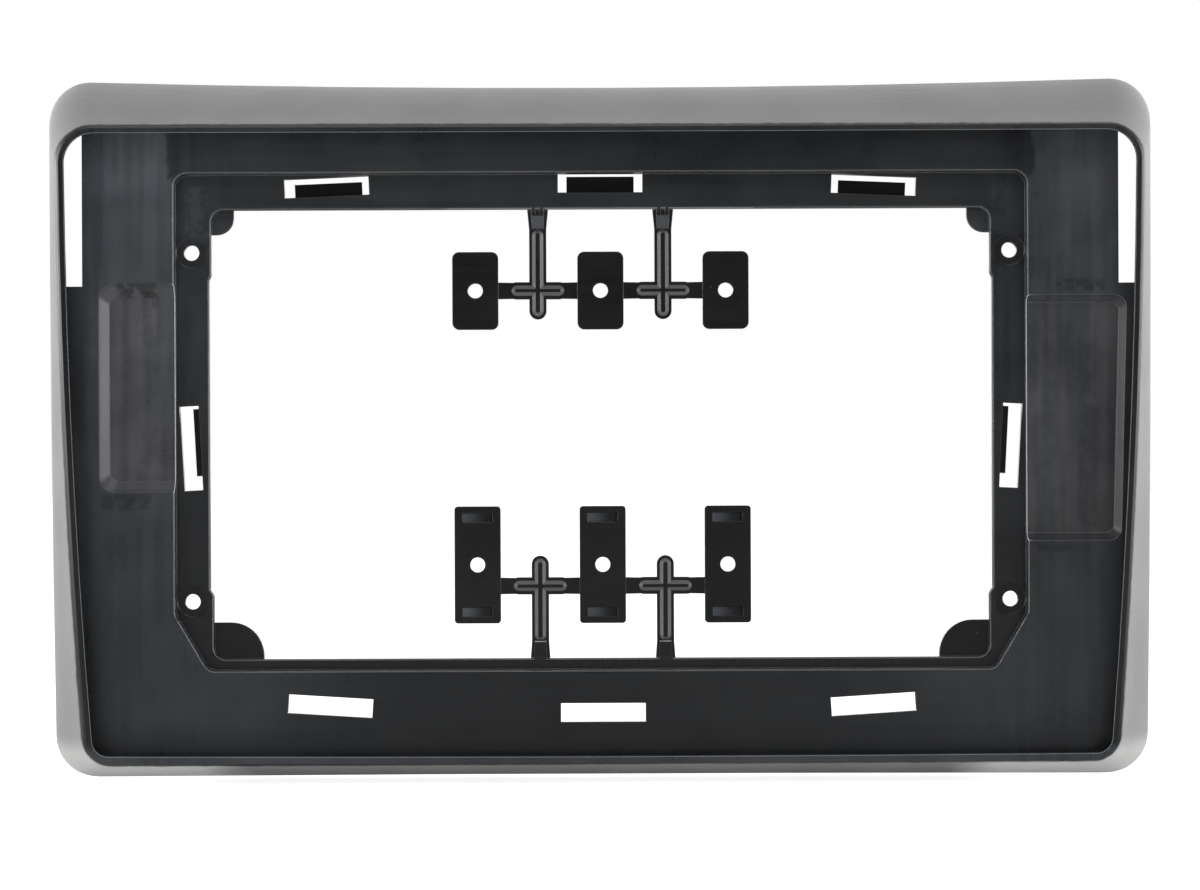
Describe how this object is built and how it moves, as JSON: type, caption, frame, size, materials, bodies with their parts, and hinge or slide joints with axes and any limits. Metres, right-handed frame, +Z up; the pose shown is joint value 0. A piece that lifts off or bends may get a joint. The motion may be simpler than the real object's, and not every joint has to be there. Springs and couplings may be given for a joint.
{
  "type": "car radio mounting frame",
  "caption": "One-piece moulded dashboard frame with a flared painted flank, a window for the radio body, catch hooks and spare plates still on their runners.",
  "frame": {"origin": "centre of the four screw holes, on the rear face of the ledge round the window", "axes": "+X across the frame, to the left as seen from behind; +Y towards the rear, into the dashboard; +Z up as fitted in the car"},
  "size_m": [0.2592, 0.018, 0.1637],
  "materials": {
    "black_plastic": "bare moulded black plastic inside, matt grey paint on the flank and the front"
  },
  "bodies": {
    "root": {"mounting_frame": "black_plastic"}
  },
  "joints": []
}
